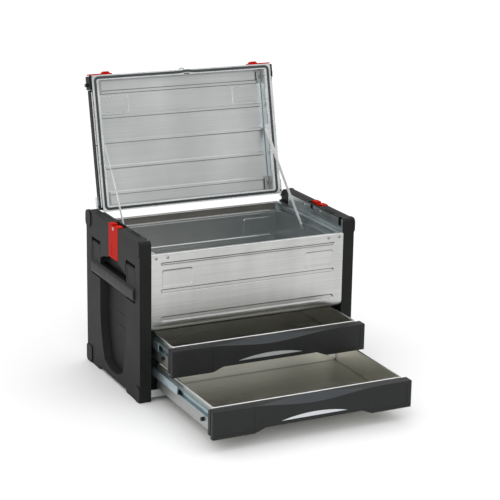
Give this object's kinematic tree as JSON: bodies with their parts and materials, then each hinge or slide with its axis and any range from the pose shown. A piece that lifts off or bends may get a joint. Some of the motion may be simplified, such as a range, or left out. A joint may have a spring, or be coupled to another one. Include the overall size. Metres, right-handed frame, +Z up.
{
  "type": "tool case with two drawers",
  "caption": "Carrying tool case: metal compartment under a hinged, latched lid, with pull-out drawers below, swing handles and stacking latches on the side panels.",
  "frame": {"origin": "bottom centre of the box around the case as it stands open, at floor level", "axes": "+Z up, -Y towards the user and the way the drawers pull out, +X to the user's right"},
  "size_m": [0.59, 0.7816, 0.7401],
  "materials": {
    "black_plastic": "moulded, fine texture",
    "grip_rubber": "soft ribbed",
    "red_plastic": "satin moulded",
    "seal_rubber": "satin",
    "strap_webbing": "flat woven",
    "silver_insert": "silver satin",
    "zinc_runner": "blue zinc plated",
    "bright_steel": "bright",
    "tray_steel": "rolled sheet",
    "zinc_fitting": "zinc plated",
    "galvanised_sheet": "brushed galvanised"
  },
  "bodies": {
    "case": {"back_panel": "galvanised_sheet", "base_pan": "galvanised_sheet", "front_panel": "galvanised_sheet", "front_screws": "bright_steel", "handle_pins": "bright_steel", "hinge_pins": "bright_steel", "latch_pins": "bright_steel", "lid_strap_left": "strap_webbing", "lid_strap_right": "strap_webbing", "lower_fixed_runners": "zinc_runner", "sheet_rivets": "bright_steel", "side_panel_left": "black_plastic", "side_panel_right": "black_plastic", "side_sheet_left": "galvanised_sheet", "side_sheet_right": "galvanised_sheet", "strap_anchors": "zinc_fitting", "tub_floor": "galvanised_sheet", "tub_side_left": "galvanised_sheet", "tub_side_right": "galvanised_sheet", "upper_fixed_runners": "zinc_runner"},
    "lid": {"lid_pan": "galvanised_sheet", "lid_seal": "seal_rubber", "lid_pull_tab": "zinc_fitting", "lid_brackets": "zinc_fitting", "strap_plates": "zinc_fitting", "lid_rail_right": "black_plastic", "lid_rail_left": "black_plastic", "lid_corner_right": "black_plastic", "lid_corner_left": "black_plastic", "hinge_arm_right": "zinc_fitting", "hinge_arm_left": "zinc_fitting"},
    "lid_bolt_slide_right": {"lid_slider_right": "red_plastic", "lid_bolt_right": "bright_steel"},
    "lid_bolt_slide_left": {"lid_slider_left": "red_plastic", "lid_bolt_left": "bright_steel"},
    "handle_right": {"handle_frame_right": "black_plastic", "handle_grip_right": "grip_rubber"},
    "handle_left": {"handle_frame_left": "black_plastic", "handle_grip_left": "grip_rubber"},
    "stack_latch_right": {"latch_plate_right": "red_plastic", "latch_rivet_right": "bright_steel"},
    "stack_latch_left": {"latch_plate_left": "red_plastic", "latch_rivet_left": "bright_steel"},
    "upper_drawer": {"upper_drawer_front": "black_plastic", "upper_front_insert": "silver_insert", "upper_tray": "tray_steel", "upper_inner_runners": "zinc_runner", "upper_tray_rivets": "bright_steel", "upper_release_levers": "grip_rubber"},
    "upper_mid_slides": {"upper_mid_runners": "zinc_runner"},
    "lower_drawer": {"lower_drawer_front": "black_plastic", "lower_front_insert": "silver_insert", "lower_tray": "tray_steel", "lower_inner_runners": "zinc_runner", "lower_tray_rivets": "bright_steel", "lower_release_levers": "grip_rubber"},
    "lower_mid_slides": {"lower_mid_runners": "zinc_runner"}
  },
  "joints": [
    {"name": "lid_hinge", "type": "hinge", "parent": "case", "child": "lid", "pos_m": [0, 0.30269, 0.3885], "axis": [1, 0, 0], "range_deg": [0, 102.7], "deforming": ["lid_strap_left", "lid_strap_right"]},
    {"name": "lid_bolt_right_slide", "type": "slide", "parent": "lid", "child": "lid_bolt_slide_right", "axis": [1, 0, 0], "range_m": [0, 0.0044]},
    {"name": "handle_right_hinge", "type": "hinge", "parent": "case", "child": "handle_right", "pos_m": [0.283, 0.13019, 0.327], "axis": [0, -1, 0], "range_deg": [0, 85]},
    {"name": "stack_latch_right_hinge", "type": "hinge", "parent": "case", "child": "stack_latch_right", "pos_m": [0.28, 0.12519, 0.39], "axis": [0, -1, 0], "range_deg": [0, 25]},
    {"name": "lid_bolt_left_slide", "type": "slide", "parent": "lid", "child": "lid_bolt_slide_left", "axis": [-1, 0, 0], "range_m": [0, 0.0044]},
    {"name": "handle_left_hinge", "type": "hinge", "parent": "case", "child": "handle_left", "pos_m": [-0.283, 0.13019, 0.327], "axis": [0, 1, 0], "range_deg": [0, 85]},
    {"name": "stack_latch_left_hinge", "type": "hinge", "parent": "case", "child": "stack_latch_left", "pos_m": [-0.28, 0.12519, 0.39], "axis": [0, 1, 0], "range_deg": [0, 25]},
    {"name": "upper_drawer_slide", "type": "slide", "parent": "case", "child": "upper_drawer", "axis": [0, -1, 0], "range_m": [-0.123, 0.226]},
    {"name": "upper_mid_slide", "type": "slide", "parent": "case", "child": "upper_mid_slides", "axis": [0, -1, 0], "range_m": [-0.0615, 0.113]},
    {"name": "lower_drawer_slide", "type": "slide", "parent": "case", "child": "lower_drawer", "axis": [0, -1, 0], "range_m": [-0.349, 0]},
    {"name": "lower_mid_slide", "type": "slide", "parent": "case", "child": "lower_mid_slides", "axis": [0, -1, 0], "range_m": [-0.1745, 0]}
  ],
  "couplings": [
    {"joint": "upper_mid_slide", "follows": "upper_drawer_slide", "ratio": 0.5},
    {"joint": "lower_mid_slide", "follows": "lower_drawer_slide", "ratio": 0.5}
  ]
}
